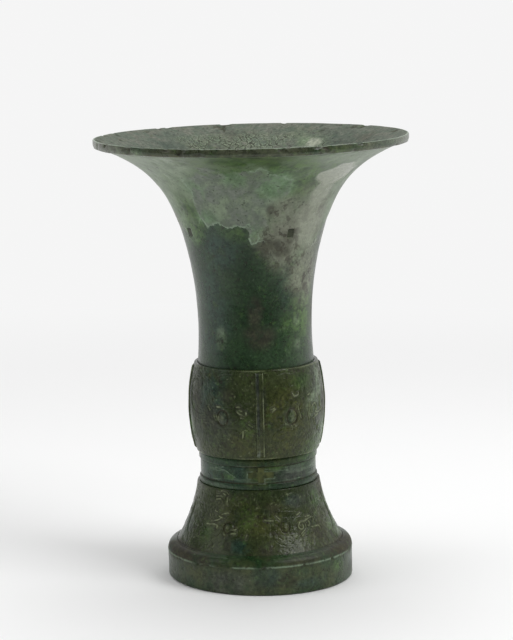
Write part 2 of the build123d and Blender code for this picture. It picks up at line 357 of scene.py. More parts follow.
BULB_MAP_R = 33.5
BULB_BANDS = (
    (1.6, (4.9, 3.5), (4.9, 14), (4.9, 28), (4.9, 42)),
    (1.6, (9.8, 29.5), (9.4, 36), (13, 40.8), (20, 41.4), (25.3, 38.6), (25.6, 34), (22, 31.6), (18.7, 34)),
    (1.2, (8.6, 25.8), (14, 28), (20, 27.9), (26, 26), (29.4, 22.2)),
    (1.1, (8.6, 21.5), (12, 18.2), (16, 16.9), (21, 17.2), (26, 19.4)),
    (1.6, (9.2, 4.5), (9, 11), (14, 14), (21, 13.6), (27, 11.4), (28.6, 7.2), (25.4, 4.2), (21, 5.4),
     (21.4, 8.8)),
    (1.1, (13.2, 4), (13.6, 8), (17, 9.8)),
    (1.4, (31.4, 35), (30, 30), (32.4, 26), (36.4, 27), (36.2, 31)),
    (1.6, (31, 20.8), (37, 20.4), (43, 22.6), (47, 28), (47, 36), (43, 40.4), (37.6, 40.8), (35.4, 37.6),
     (38.4, 35.4)),
    (1.6, (32.2, 15.6), (33.6, 9.6), (38, 5), (44, 4.6), (47.8, 8.4), (46.4, 13), (42.4, 12.8), (41.6, 9.6)),
    (1.1, (28.8, 37), (30.6, 41.6), (33, 42)),
)
FOOT_MAP_R = 36.5
FOOT_BANDS = (
    (1.3, (3.4, 3), (3.4, 10), (3.4, 19), (3.4, 28)),
    (1.1, (6.8, 17.8), (12, 19.2), (18, 18.8), (25, 17.4)),
    (1.0, (27, 8.8), (23, 8.2), (19.8, 10.4), (20, 14), (23.4, 15.6), (26.6, 13.6), (25.6, 11.2), (23, 11.6)),
    (1.2, (7, 22.6), (12, 25.4), (17, 26.6), (21.6, 27.4), (24.4, 25.6), (22.6, 23.2), (19.8, 24)),
    (1.0, (6.6, 10.4), (9, 7), (13, 5.4)),
    (1.5, (32, 25), (30.6, 19), (33.4, 13.8), (39, 12.6), (43, 16), (41.4, 20), (37.6, 19.2)),
    (1.4, (29.4, 8.6), (34, 5), (41, 4), (48, 6.4), (50.6, 12), (50, 20), (46.4, 26), (40, 27)),
)

# Lines of the front's relief that wear has left standing, as angle and height
BULB_LINES = (
    ((48.5, 86), (48.5, 87.5), (50, 89), (51, 92.5)),
    ((53, 87), (53.5, 90), (57, 91.5), (60, 90), (59.5, 88)),
    ((58.5, 87), (63, 86.5), (68.5, 87), (72, 87.5)), ((55, 84), (59.5, 85), (64, 85.5)),
    ((50, 85), (50, 83.5)), ((57.5, 83.5), (58.5, 80.5)), ((63.5, 79), (64, 77.5)), ((68, 94), (67, 89)),
    ((49, 96.5), (51, 97)), ((32, 98.5), (34, 97), (37.5, 97.5), (38, 98.5)),
    ((24, 83.5), (30, 82.5), (31, 80.5)), ((34, 81.5), (36.5, 82.5)), ((12, 91.5), (14.5, 92)),
    ((13, 90.5), (15.5, 91.5)), ((37, 92.5), (38, 89), (40, 85.5)), ((-38.5, 87.5), (-37.5, 86)),
    ((-36, 88), (-34.5, 85.5)), ((-33, 88), (-33, 86.5)), ((-36, 92.5), (-32.5, 92.5)),
    ((-17, 93), (-14, 93)), ((-14, 91.5), (-12.5, 91)), ((-16.5, 90.5), (-14.5, 89.5), (-12, 89)),
    ((-9, 90.5), (-9, 89)), ((-13.5, 87.5), (-11.5, 87.5)), ((-7.5, 84.5), (-4, 83)),
    ((-9, 83.5), (-6.5, 82)), ((-12, 80.5), (-12.5, 77.5)), ((-45.5, 92), (-43, 90.5)),
)
FOOT_LINES = (
    ((34.5, 33), (39.5, 33), (44.5, 34), (49, 34)),
    ((34.5, 33), (33, 32), (32.5, 30.5), (34.5, 29.5), (36.5, 30), (37, 31.5)),
    ((49, 33), (48, 31.5)), ((43.5, 32.5), (44.5, 31.5), (42.5, 30.5)),
    ((39.5, 31.5), (39, 29.5), (37, 28.5)), ((45.5, 29.5), (51, 29.5), (54, 29), (54, 27)),
    ((33, 36.5), (37, 37.5)), ((41, 35), (46.5, 35)),
    ((33.5, 27.5), (36.5, 28.5)), ((34, 26.5), (37, 27.5)), ((42, 24), (40.5, 22)),
    ((-42.5, 47.5), (-38, 47.5)), ((-42, 46), (-37, 46.5), (-34.5, 46)), ((-34.5, 48), (-31, 47)),
    ((-37, 49), (-34, 49), (-30.5, 48.5), (-28.5, 47.5)), ((-41.5, 44.5), (-36.5, 45)),
    ((-35, 44.5), (-35, 43.5)), ((-29.5, 46), (-29, 42.5)), ((-33, 37.5), (-30.5, 38), (-27.5, 38.5)),
    ((-36, 36.5), (-33, 36), (-29.5, 36)), ((-46.5, 37), (-45.5, 36)), ((-41, 39), (-38.5, 38.5)),
    ((-43, 34), (-37.5, 34.5), (-34, 35.5)), ((-47.5, 32), (-39, 32.5), (-36.5, 32), (-36, 31)),
    ((-23, 30.5), (-19, 31)), ((-23, 29), (-19, 29)), ((-29.5, 29), (-27.5, 28)), ((4.5, 35.5), (11, 35)),
    ((14.5, 37), (17, 35.5)), ((-10, 28.5), (-10.5, 27)),
)
BAND_LINES = (
    ((-46.5, 60), (-36.5, 61)), ((-45.5, 58.5), (-35.5, 59.5), (-28.5, 57.5), (-21, 55.5)),
    ((-51, 54), (-39.5, 54.5)), ((25.5, 54), (37, 54), (46, 54)), ((7, 60.5), (17.5, 60)),
    ((18.5, 59.5), (30.5, 59)), ((45.5, 60), (50.5, 60)),
)

Mask = collections.namedtuple("Mask", "map_r bands lines eyes_deg eye_p eye_up eye_half low height")
BULB_MASK = Mask(BULB_MAP_R, BULB_BANDS, BULB_LINES, BULB_EYE_DEG, 19.9, BULB_EYE_UP, (2.4, 3.3),
                 BAND_TOP_Z, BULB_H)
FOOT_MASK = Mask(FOOT_MAP_R, FOOT_BANDS, FOOT_LINES, FOOT_EYE_DEG, 14.4, FOOT_EYE_UP, (2.2, 2.2),
                 SHOULDER_TOP_Z, FOOT_H)


def smooth_line(points, steps=8):
    """Points of a smooth curve through the given ones."""
    points = np.array(points, float)
    padded = np.concatenate([[2 * points[0] - points[1]], points, [2 * points[-1] - points[-2]]])
    t = np.linspace(0, 1, steps, endpoint=False)[:, None]
    curve = []
    for a, b, c, d in zip(padded, padded[1:], padded[2:], padded[3:]):
        square = a - 2.5 * b + 2 * c - d / 2
        cube = 1.5 * (b - c) + (d - a) / 2
        curve.append(b + t * (c - a) / 2 + t ** 2 * square + t ** 3 * cube)
    return np.concatenate(curve + [points[-1:]])


def distance_to(line, p, q):
    """Distance of places from a polyline."""
    nearest = np.full(p.shape, np.inf)
    for (p0, q0), (p1, q1) in zip(line, line[1:]):
        dp, dq = p1 - p0, q1 - q0
        t = np.clip(((p - p0) * dp + (q - q0) * dq) / (dp * dp + dq * dq), 0, 1)
        nearest = np.minimum(nearest, (p - p0 - t * dp) ** 2 + (q - q0 - t * dq) ** 2)
    return np.sqrt(nearest)


def spirals(p, q):
    """Square spirals in cells: 1 in the cut lines and 0 on the ridges between them."""
    column = np.floor(p / SPIRAL_CELL)
    row = np.floor(q / SPIRAL_CELL)
    x = 2 * (p / SPIRAL_CELL - column) - 1
    y = 2 * (q / SPIRAL_CELL - row) - 1
    x = np.where((column + row) % 2 == 0, x, -x)
    turn = np.maximum(abs(x), abs(y)) * SPIRAL_TURNS - np.arctan2(y, x) / (2 * math.pi)
    return smoothstep(0.35, 0.75, 0.5 + 0.5 * np.cos(2 * math.pi * turn))


def mask_distance(angle, mask):
    """Distance from the middle of the nearer mask, stretched so that the eyes lie where they are drawn."""
    turn = turned(angle, FACE_TURN_DEG, 180)
    side_end = math.pi / 2 * mask.map_r
    p = np.radians(abs(turn)) * mask.map_r
    drawn = (0, mask.eye_p, side_end)
    ways = []
    for eye in mask.eyes_deg:
        seen = (0, math.radians(abs(eye - FACE_TURN_DEG)) * mask.map_r, side_end)
        ways.append(np.interp(p, seen, drawn))
    return np.where(turn < 0, *ways)


def standing_lines(lines, map_r, angle, z, place):
    """1 along the crests of the lines that still stand, and 1 in the cuts beside them."""
    scale = math.radians(map_r)
    p = turned(angle) * scale + 0.15 * noise(place, 2.5, 45)
    away = np.full(p.shape, np.inf)
    for points in lines:
        curve = smooth_line([(turn * scale, level) for turn, level in points], 3)
        away = np.minimum(away, distance_to(curve, p, z))
    crest = hump(away, STAND_HALF) * (0.3 + 0.8 * smoothstep(-0.5, 0.4, noise(place, 1.8, 46)))
    return crest, hump(away - 2.2 * STAND_HALF, STAND_HALF)


def mask_relief(p, q, bands, top, ground):
    """Height of a mask's ornament: bands with cut outlines over spirals, as deep as ground says."""
    height = -GROOVE * spirals(p, q) * ground
    for half, *points in bands:
        away = distance_to(smooth_line(points), p, q)
        on_band = smoothstep(half + 0.12, half - 0.12, away)
        height = height * (1 - on_band) + RAISE * on_band
        outline = hump(away - half - LINE_HALF, LINE_HALF)
        inner = hump(away - half * 0.42, 0.75 * LINE_HALF)
        height = height * (1 - outline) - GROOVE * outline - 0.8 * GROOVE * inner * on_band
    margin = smoothstep(0.9, 1.6, q) * smoothstep(top - 0.9, top - 1.6, q)
    return height * margin


def left_by_wear(angle, place):
    """How much of the relief is left, from worn to crisp: by chance, and less on the front."""
    chance = smoothstep(-0.4, 0.35, rough_noise(place, 22, 12))
    side = smoothstep(60, 80, abs(turned(angle)))
    return (0.15 + 0.85 * chance * (0.15 + 0.85 * side)) * (0.8 + 0.35 * noise(place, 2.6, 18))


def grit(place):
    """Small lumps and pits of corrosion."""
    return 0.06 * rough_noise(place, 6, 2) - 0.14 * smoothstep(0.3, 0.7, rough_noise(place, 2.4, 17))


def at_least(tones, name, amount):
    """A tone becomes at least this strong."""
    tones[name] = np.maximum(tones[name], amount)


def masked(mask, angle, z, kind, place, tones):
    """Relief of a wall with a mask. High points turn pale, partly as wear and partly as painted highlights,
    and cuts dark.
    """
    p = mask_distance(angle, mask) + MASK_SWAY * noise(place, 9, 20)
    q = z - mask.low + MASK_SWAY * noise(place, 9, 21)
    kept = left_by_wear(angle, place)
    half_p, half_q = mask.eye_half
    away = np.hypot((p - mask.eye_p) / half_p, (q - mask.eye_up) / half_q)
    dome = EYE_RISE * np.sqrt(np.clip(1 - away ** 2, 0, 1))
    ring = hump(away - 1.22, 0.14)
    slit = hump(q - mask.eye_up, 0.35) * smoothstep(0.7, 0.5, away)
    near = smoothstep(1.5, 1.35, away)
    ground = smoothstep(-0.2, 0.5, noise(place, 6, 24))
    pattern = mask_relief(p, q, mask.bands, mask.height, ground) * kept * (1 - near)
    eye = (dome - 1.3 * GROOVE * ring - 0.5 * GROOVE * slit) * near * (0.8 + 0.2 * kept)
    crest, cut = standing_lines(mask.lines, mask.map_r, angle, z, place)
    crumb = noise(place, 1.1, 50) * smoothstep(-0.5, 0.3, noise(place, 8, 51))
    pale = (
        1.2 * crest,
        # Pale raised bands and crumbs: partly wear and partly painted glints
        0.4 * smoothstep(0.1, 0.25, pattern) * smoothstep(-0.1, 0.5, noise(place, 4, 47)),
        0.2 * smoothstep(0.35, 0.7, crumb),
        # The pale top of the eye's dome is a painted highlight
        0.35 * smoothstep(0.6, 0.2, away),
    )
    dark = (1.3 * ring, 0.8 * cut, 0.7 * smoothstep(-0.3, -0.65, crumb))
    outer = (kind == OUT).astype(float)
    tones["rim"] = outer * np.clip(np.maximum.reduce(pale), 0, 1)
    at_least(tones, "brown", outer * np.maximum.reduce(dark))
    pattern = pattern * (1 - crest) + STAND_RISE * (crest - 0.5 * cut)
    tones["sunk"] = outer * np.clip(-pattern / GROOVE, 0, 1)
    return pattern + eye + grit(place) + CRUMB * crumb


# Where the patina changes on the front, for each tone: angle, height, half width, half height and strength.
# Some patches are painted highlights, reflections or shade, as marked.

PATCHES = {
    "pale": (
        (-58, 210, 22, 11, 1.0), (-66, 192, 9, 18, 0.6), (40, 217, 16, 3, 0.7), (-44, 222, 6, 2, 0.8),
        (46, 134, 2.5, 3, 0.5), (48, 122, 3.5, 4, 0.6), (-36, 126, 3, 5, 0.5), (55, 93, 6, 10, 0.6),
        # The pale strip at 68° and 98 mm, along the barrel's right edge, is a painted highlight.
        (68, 98, 3, 11, 0.8),
    ),
    "mint": (
        (-37, 204, 8, 6, 0.8), (-35, 188, 7, 4, 0.9), (14, 204, 10, 8, 1.0), (3, 180, 5, 6, 1.0),
        (-8, 208, 7, 4, 0.6),
    ),
    "tan": (
        # The four tan patches on the right of the neck, from 22° to 54°, are partly patina and partly a
        # painted reflection of the white floor.
        (30, 177, 16, 15, 1.0), (44, 186, 15, 20, 1.0), (22, 191, 10, 8, 0.8), (54, 160, 11, 20, 0.9),
        (78, 224, 44, 3, 0.55), (-74, 224, 40, 3, 0.7), (0, 224, 62, 3, 0.15), (-44, 37, 8, 8, 0.25),
        (0, 7, 64, 9, 0.12),
    ),
    "bright": (
        (26, 214, 26, 8, 1.0), (32, 204, 13, 9, 1.0), (54, 140, 12, 26, 0.9), (-12, 180, 14, 5, 0.6),
        (-14, 212, 20, 4, 0.8), (-50, 188, 10, 16, 1.0), (-6, 218, 28, 4, 0.8), (-10, 82, 4, 7, 0.5),
        (45, 104, 7, 5, 0.5), (-34, 56, 5, 2, 0.6), (16, 61, 6, 2, 0.5), (-10, 36, 5, 6, 0.3),
        (-46, 28, 5, 6, 0.5), (60, 42, 5, 5, 0.6), (56, 11, 5, 4, 1.0),
    ),
    "teal": (
        (-32, 174, 14, 12, 1.0), (-50, 138, 12, 24, 0.8), (34, 150, 5, 12, 0.8), (-50, 92, 17, 19, 1.0),
        (28, 87, 3, 5, 0.5), (-44, 58, 19, 8, 0.9), (-21, 61, 5, 2, 1.0), (-14, 23, 7, 4, 0.9),
        (30, 44, 6, 3, 0.7), (4, 10, 7, 5, 0.9), (31, 5, 9, 3, 0.9),
    ),
    "brown": (
        (0.5, 140, 4, 9, 0.7), (14, 173, 8, 4, 0.7), (30, 177, 4, 5, 0.6), (25, 170, 5, 3, 0.6),
        (13, 191, 3, 3, 0.7), (4, 127, 9, 6, 0.8), (2, 220.5, 20, 2, 0.3), (52, 27, 8, 6, 0.8),
        # The brown at -64° and 92 mm, a strip along the barrel's left edge, is painted shade.
        (-26, 98, 5, 5, 0.6), (-22, 72, 6, 4, 0.4), (-48, 84, 12, 10, 0.7), (-64, 92, 7, 17, 0.8),
        (4, 22, 6, 4, 0.8), (12, 41, 6, 3, 0.6), (68, 20, 5, 5, 0.9), (17, 7, 6, 3, 0.6),
        # The two strong brown bands at -64° and 66°, 17 mm up, darken the sides of the ring's rounded
        # shoulder: painted shade.
        (-64, 17, 26, 4, 1.3), (66, 17, 26, 4, 1.3), (30, 16, 14, 3, 0.7), (78, 5, 9, 4, 0.5),
    ),
    "olive": (
        (-4, 218, 30, 4, 0.7), (0, 224, 62, 3, 1.0), (26, 84, 17, 22, 1.0), (-13, 76, 9, 14, 0.8),
        (8, 92, 8, 16, 0.7), (0, 8, 60, 12, 0.6), (2, 58, 8, 8, 1.0), (8, 33, 22, 13, 0.7),
        (-32, 36, 10, 10, 0.5), (50, 30, 12, 9, 0.5), (-42, 9, 14, 6, 0.7), (42, 9, 8, 3, 0.5),
    ),
    "grey": (
        (0, 224, 46, 3, 0.5), (-30, 84, 7, 9, 0.6), (62, 92, 6, 18, 0.8), (6, 98, 2, 6, 0.6),
        (34, 56, 11, 5, 0.9), (34, 43, 8, 4, 0.7), (-20, 6, 13, 6, 0.8),
    ),
    "slate": (),
}
INSIDE_PATCHES = {
    "pale": ((150, 217, 8, 3, 0.9),),
    "teal": ((222, 218, 16, 4, 0.5), (138, 219, 14, 4, 0.6)),
    "brown": ((190, 220, 12, 3, 0.3), (200, 215, 16, 3, 0.3), (118, 220, 10, 3, 0.3)),
    "bright": ((160, 221, 12, 3, 0.2),),
    "slate": ((232, 220, 16, 4, 1.0),),
}
INSIDE_CRACKS = (180, 216.5, 36, 4.5)     # angle, height, half width and half height
INSIDE_PALE = (147, 216.5, 5, 2)
TONE_NAMES = ("olive", "teal", "grey", "bright", "slate", "mint", "tan", "pale", "brown")

# The grey flake on the front of the neck: its outline as angle and height
FLAKE = (
    (-41, 208), (-41, 200), (-40, 187), (-36, 184), (-27, 186), (-20, 184), (-3, 184), (-1, 175), (3, 175),
    (5, 180), (12, 182), (10, 189), (14, 194), (23, 201), (21, 207), (15, 210), (4, 214), (-12, 211),
    (-24, 215), (-30, 210),
)
FLAKE_MAP_R = 43.0        # radius at which an angle is read as a length

# Lower edge of the pale crust round the neck, as angle and height, and where it turns soft
CRUST_EDGE = (
    (-180, 186), (-140, 178), (-100, 186), (-62, 180), (-44, 184), (-40, 187), (-36, 184), (-27, 186),
    (-20, 184), (-3, 184), (-1, 175), (9, 176), (18, 168), (46, 165), (60, 172), (90, 188), (135, 176),
    (180, 186),
)
CRUST_SOFT_DEG = (38, 50)

# Where the edges of crust and flake are bright: angle, height, half width and half height
BRIGHT_EDGES = ((-32, 186, 8, 5), (-14, 185, 9, 4), (12, 211, 14, 5), (1, 177, 5, 5), (-41, 202, 3, 8))

# Smooth pale places on the right of the neck, partly pale patina and partly a painted highlight of the white
# floor that the flare reflects: angle, height, half width, half height, strength, soft edge
PATINA_AND_HIGHLIGHT_PATCHES = ((52, 208, 13, 6.5, 1.0, 0.2), (50, 198, 10, 11, 0.8, 0.5), (48, 184, 14, 17, 0.7, 0.8))

# Patches round the sides and the back, drawn at random from the tones of each stretch of height
STRETCHES = (
    ((165, 216), ("pale", "tan", "bright", "slate", "mint", "tan"), 30),
    ((113, 165), ("teal", "bright", "brown", "grey"), 16),
    ((68, 109), ("olive", "grey", "bright", "olive", "brown"), 18),
    ((50, 65), ("teal", "olive", "grey", "bright"), 12),
    ((20, 49), ("olive", "bright", "brown", "teal"), 20),
    ((2, 17), ("grey", "teal", "bright", "olive", "brown"), 16),
)
FRONT_HALF_DEG = 78.0
FULL_STRETCH = 40.0       # patches of a stretch less high than this are smaller


def with_random(patches):
    """The patches of the front, and those of the sides and the back."""
    rng = np.random.default_rng(5)
    made = {tone: list(rows) for tone, rows in patches.items()}
    for (low, high), tones, count in STRETCHES:
        for _ in range(count):
            angle = rng.uniform(FRONT_HALF_DEG, 360 - FRONT_HALF_DEG)
            half = rng.uniform(5, 17) * min(1, (high - low) / FULL_STRETCH)
            tone = tones[rng.integers(len(tones))]
            made[tone].append((angle, rng.uniform(low, high), half * rng.uniform(0.8, 1.6),
                               half * rng.uniform(0.6, 1.1), rng.uniform(0.5, 1)))
    return made


OUTSIDE_PATCHES = with_random(PATCHES)


def distance_in(angle, radius, z, centre, level, half_w, half_h):
    """Distance of places on a wall from a patch's middle, 1 at its edge."""
    return np.hypot(np.radians(turned(angle, centre)) * radius / half_w, (z - level) / half_h)


def kept_depth(depth):
    """Depth behind an edge as the mesh holds it: 0 far outside, REACH on the edge, twice that far inside."""
    return np.clip(depth, -REACH, REACH) + REACH


def wander(place):
    """How far the edge of a crust or flake strays inwards: scallops and a slower sway."""
    return CRUST_LOBE * (abs(noise(place, 5, 30)) - 0.3) + CRUST_SWAY * noise(place, 16, 31)


def tone_fields(angle, radius, z, place, patches):
    """How much of each tone lies at places, but for slate, which has a sharp edge, how deep behind that."""
    ragged = 0.45 * rough_noise(place, 11, 3)
    stray = wander(place)
    fields = {name: np.zeros(z.shape) for name in TONE_NAMES}
    for name, rows in patches.items():
        for *spot, strength in rows:
            away = distance_in(angle, radius, z, *spot)
            if name == "slate":
                amount = kept_depth((1 - away) * min(spot[2:]) - stray)
            else:
                amount = strength * smoothstep(1.35, 0.35, away + ragged)
            at_least(fields, name, amount)
    return fields


def depth_inside(outline, angle, z):
    """Depth of places behind a closed outline of angles and heights, negative outside it."""
    scale = math.radians(FLAKE_MAP_R)
    p = turned(angle) * scale
    corners = [(turn * scale, level) for turn, level in outline]
    closed = corners + corners[:1]
    inside = np.zeros(p.shape, bool)
    for (p0, q0), (p1, q1) in zip(closed, closed[1:]):
        if q0 != q1:
            inside ^= ((q0 > z) != (q1 > z)) & (p < p0 + (z - q0) * (p1 - p0) / (q1 - q0))
    away = distance_to(closed, p, z)
    return np.where(inside, away, -away)


def crust_fields(angle, radius, z, place):
    """Depth behind the edge of the upper neck's pale crust, where edges are bright, and the smooth pale
    places, which are partly a painted highlight.
    """
    turn = turned(angle)
    hard = smoothstep(*CRUST_SOFT_DEG[::-1], abs(turn))
    depth = z - np.interp(turn, *np.transpose(CRUST_EDGE)) - wander(place)
    crust = kept_depth(np.minimum(depth * (0.2 + 0.8 * hard), 3 * (LIP_UNDER_Z - 0.7 - z)))
    smooth_pale = np.zeros(z.shape)
    for *spot, strength, soft in PATINA_AND_HIGHLIGHT_PATCHES:
        away = distance_in(angle, radius, z, *spot) + 0.3 * rough_noise(place, 7, 34)
        smooth_pale = np.maximum(smooth_pale, strength * smoothstep(1.05, 1.05 - soft, away))
    bright = np.zeros(z.shape)
    for spot in BRIGHT_EDGES:
        away = distance_in(angle, radius, z, *spot) + 0.4 * noise(place, 6, 33)
        bright = np.maximum(bright, smoothstep(1.3, 0.7, away))
    return {"crust": crust, "smooth_pale": smooth_pale, "edge": bright, "rim": np.zeros(z.shape)}


def cracked_share(angle, radius, z, place):
    """How far the inside is cracked: at the back below the lip, and by chance further down."""
    stray = rough_noise(place, 24, 35)
    away = distance_in(angle, radius, z, *INSIDE_CRACKS) + 0.9 * noise(place, 9, 37)
    return np.maximum(smoothstep(1.2, 0.6, away), smoothstep(-0.1, 0.4, stray) * smoothstep(213, 209, z))


def pale_edge_line(z, level, place):
    """A broken pale line along an edge at a height."""
    return hump(z - level, 0.4) * smoothstep(-0.3, 0.3, noise(place, 9, 40))


# Shells

def in_square(angle, radius, z, centre, level, half_w, half_h):
    """1 inside a square seen straight on at an angle, 0 outside it."""
    turn = np.radians(turned(angle, centre))
    near = abs(turn) < NEAR_TURN
    across = abs(radius * np.sin(turn)) < half_w - POCKET_LAP
    return (near & across & (abs(z - level) < half_h - POCKET_LAP)).astype(float)


def spacer_pockets(angle, radius, z, first, level):
    """1 under the square chips of a wall."""
    half = SPACER_SIDE / 2
    turns = [first + 360 / SPACER_COUNT * i for i in range(SPACER_COUNT)]
    return sum(in_square(angle, radius, z, turn, level, half, half) for turn in turns)


def cross_pockets(angle, radius, z):
    """1 under the filled crosses of the band."""
    total = 0.0
    for turn in (FACE_TURN_DEG, FACE_TURN_DEG + 180):
        for width, height in ((CROSS_W, CROSS_BAR), (CROSS_BAR, CROSS_H)):
            total = np.maximum(total, in_square(angle, radius, z, turn, CROSS_Z, width / 2, height / 2))
    return total


def flange_slots(angle, z):
    """1 under the barrel's flanges."""
    turn = np.radians(turned(angle, FACE_TURN_DEG, 90))
    across = abs(turn) * radius_on(BULB_SIDE, z) < FLANGE_W / 2 - 0.3
    margin = FLANGE_END + 0.4
    return (across & (z > BAND_TOP_Z + margin) & (z < BULB_TOP_Z - margin)).astype(float)


def stood_back(push, pocket):
    """Relief that stands back where there are pockets."""
    return push * (1 - pocket) - POCKET * pocket


def by_kind(kind, outside, inside=0.0):
    """One value for the outside and another for the inside, and 0 on the faces of joints."""
    return np.where(kind == OUT, outside, np.where(kind == IN, inside, 0.0))


def shell(name, runs, soft, angles, relief, joined=True, settle=None):
    """A wall turned about the axis from its section, with relief(angle, radius, z, kind, place, tones) on it.

    The relief may change the tones. settle(radius, angle, z) may move the heights, as for the level ring."""
    stations, out, kinds = section(runs, soft)
    angle = np.repeat(angles[:, None], len(stations), 1)
    radius, z, kind = (np.tile(row, (len(angles), 1)) for row in (*stations.T, kinds))
    turn = np.radians(angle)
    place = np.stack([radius * np.sin(turn), -radius * np.cos(turn), z], -1)
    outside = tone_fields(angle, radius, z, place, OUTSIDE_PATCHES)
    inside = tone_fields(angle, radius, z, place, INSIDE_PATCHES)
    tones = {key: np.where(kind == IN, inside[key], outside[key]) for key in TONE_NAMES}
    for key, values in crust_fields(angle, radius, z, place).items():
        tones[key] = by_kind(kind, values)
    tones["cracked"] = by_kind(kind, 0.0, cracked_share(angle, radius, z, place))
    tones["inside"] = (kind == IN).astype(float)
    push = relief(angle, radius, z, kind, place, tones)
    if settle:
        z = settle(radius, angle, z)
    radius = radius + push * out[:, 0]
    z = z + push * out[:, 1]
    rings = leaned(radius * np.sin(turn), -radius * np.cos(turn), z)
    return closed_mesh(name, rings, joined, tones)


def around(count):
    """Angles all the way round, in even steps from the front flange."""
    return FACE_TURN_DEG + 360 / count * (np.arange(count) + 0.5)


def make_halves(stem, node, runs, soft, count, relief):
    """A wall in two halves, front and back, that stand for one CAD node."""
    for side, middle in (("front", FACE_TURN_DEG), ("back", FACE_TURN_DEG + 180)):
        angles = middle + np.linspace(-90, 90, count)
        piece = shell(f"{stem}_{side}", runs, soft, angles, relief, joined=False)
        placed(piece, node, "relief_bronze")


def crust_height(tones, place):
    """Height of the crust and of the flakes on it, with pits."""
    bed = smoothstep(-0.4, 0.4, tones["crust"] - REACH) * (1 - tones["smooth_pale"])
    flake = smoothstep(-0.4, 0.4, tones["slate"] - REACH)
    pit = smoothstep(0.3, 0.7, rough_noise(place, 4, 9))
    return CRUST_RISE * (bed + 0.4 * flake - 0.8 * pit * bed)


def neck_relief(angle, radius, z, kind, place, tones):
    """Dents, crust, flakes, the lip's bead and nicks, and pockets under the chips."""
    flake = kept_depth(depth_inside(FLAKE, angle, z) - wander(place))
    tones["slate"] = by_kind(kind, np.maximum(tones["slate"], flake))
    spot = distance_in(angle, radius, z, *INSIDE_PALE) + 0.5 * rough_noise(place, 3, 36)
    tones["smooth_pale"] = np.where(kind == IN, smoothstep(1.1, 0.7, spot), tones["smooth_pale"])
    push = DENT * rough_noise(place, 34, 1) + 0.05 * rough_noise(place, 5, 2) + crust_height(tones, place)
    nick = smoothstep(LIP_Z - 1.5, LIP_Z, z) * smoothstep(0.3, 0.6, rough_noise(place, 4, 6))
    at_least(tones, "brown", 0.9 * nick)
    outer = (kind == OUT) & (radius > MOUTH_R - LIP_DEEP)
    below = outer & (z < LIP_Z) & (radius < MOUTH_R - 0.1)
    bead = below * smoothstep(LIP_UNDER_Z - 0.5, LIP_UNDER_Z + 0.1, z)
    at_least(tones, "olive", bead)
    # Pale lines along the bead below the lip, which is crust, and along the lip's top edge, which is partly
    # wear and partly a painted highlight.
    lines = pale_edge_line(z, LIP_UNDER_Z - 0.3, place) + 0.75 * smoothstep(HEIGHT - 0.3, HEIGHT, z)
    at_least(tones, "rim", outer * lines)
    push = push - LIP_NICK * nick + LIP_BEAD * bead - LIP_GROOVE * outer * hump(z - LIP_UNDER_Z + 0.8, 0.25)
    pocket = spacer_pockets(angle, radius, z, NECK_SPACER_DEG, BULB_TOP_Z + NECK_SPACER_UP)
    push = stood_back(by_kind(kind, push, push), pocket)
    return push * smoothstep(BULB_TOP_Z, BULB_TOP_Z + 1, z)


def make_neck():
    """The flared neck with its squared lip."""
    z = np.linspace(BULB_TOP_Z, LIP_Z, 200)
    radius, slope = neck_flare(z)
    tilt = np.arctan(slope)
    outside = np.stack([radius, z], 1)
    inside = np.stack([radius - WALL * np.cos(tilt), z + WALL * np.sin(tilt)], 1)
    inside[0] = (SPIGOT_IN_R, BULB_TOP_Z)
    inside[-1, 1] = HEIGHT
    runs = (
        ([(SPIGOT_R, NECK_SEAT_Z)], 2.0, JOINT),
        (outside, 0.85, OUT),
        (outside[-1:], 0.34, OUT),
        ([(MOUTH_R, HEIGHT)], 0.31, OUT),
        (inside[::-1], 2.5, IN),
        (inside[:1], 2.0, JOINT),
        ([(SPIGOT_IN_R, NECK_SEAT_Z)], 1.5, JOINT),
    )
    piece = shell("trumpet_neck_wall", runs, {1: 0.5, 2: 0.5, 3: 0.5}, around(NECK_COUNT), neck_relief)
    placed(piece, "trumpet_neck", "plain_bronze")


def bulb_relief(angle, radius, z, kind, place, tones):
    """The mask, worn edges, and slots under the flanges."""
    height = stood_back(masked(BULB_MASK, angle, z, kind, place, tones), flange_slots(angle, z))
    edges = pale_edge_line(z, BAND_TOP_Z + 0.4, place) + pale_edge_line(z, BULB_TOP_Z - 0.3, place)
    at_least(tones, "rim", by_kind(kind, 0.7 * edges))
    return by_kind(kind, height, 0.08 * rough_noise(place, 8, 4))


def make_bulb():
    """The barrel, in two halves that meet under the side flanges."""
    socket_r = SPIGOT_R + FIT_GAP
    runs = (
        (arc(BULB_SIDE), 0.3, OUT),
        (BULB_SIDE[1:2], 0.4, JOINT),
        ([(socket_r, BULB_TOP_Z)], 2.0, JOINT),
        ([(socket_r, NECK_SEAT_Z)], 1.5, JOINT),
        (arc(BULB_INSIDE)[::-1], 2.0, IN),
        ([(BAND_IN_R, FLOOR_TOP_Z), (REBATE_R, FLOOR_TOP_Z)], 1.2, JOINT),
        ([(REBATE_R, BAND_TOP_Z)], 0.4, JOINT),
    )
    make_halves("barrel", "bulb_shell", runs, {0: 0.5, 6: 0.5}, BULB_HALF_COUNT, bulb_relief)


def cross_outline(angle, radius, z):
    """1 along the outline of the filled crosses, just outside it."""
    turn = np.radians(turned(angle, FACE_TURN_DEG, 180))
    across = abs(radius * np.sin(turn))
    up = abs(z - CROSS_Z)
    level = np.maximum(across - CROSS_W / 2, up - CROSS_BAR / 2)
    upright = np.maximum(across - CROSS_BAR / 2, up - CROSS_H / 2)
    return hump(np.minimum(level, upright) - 0.3, 0.3)


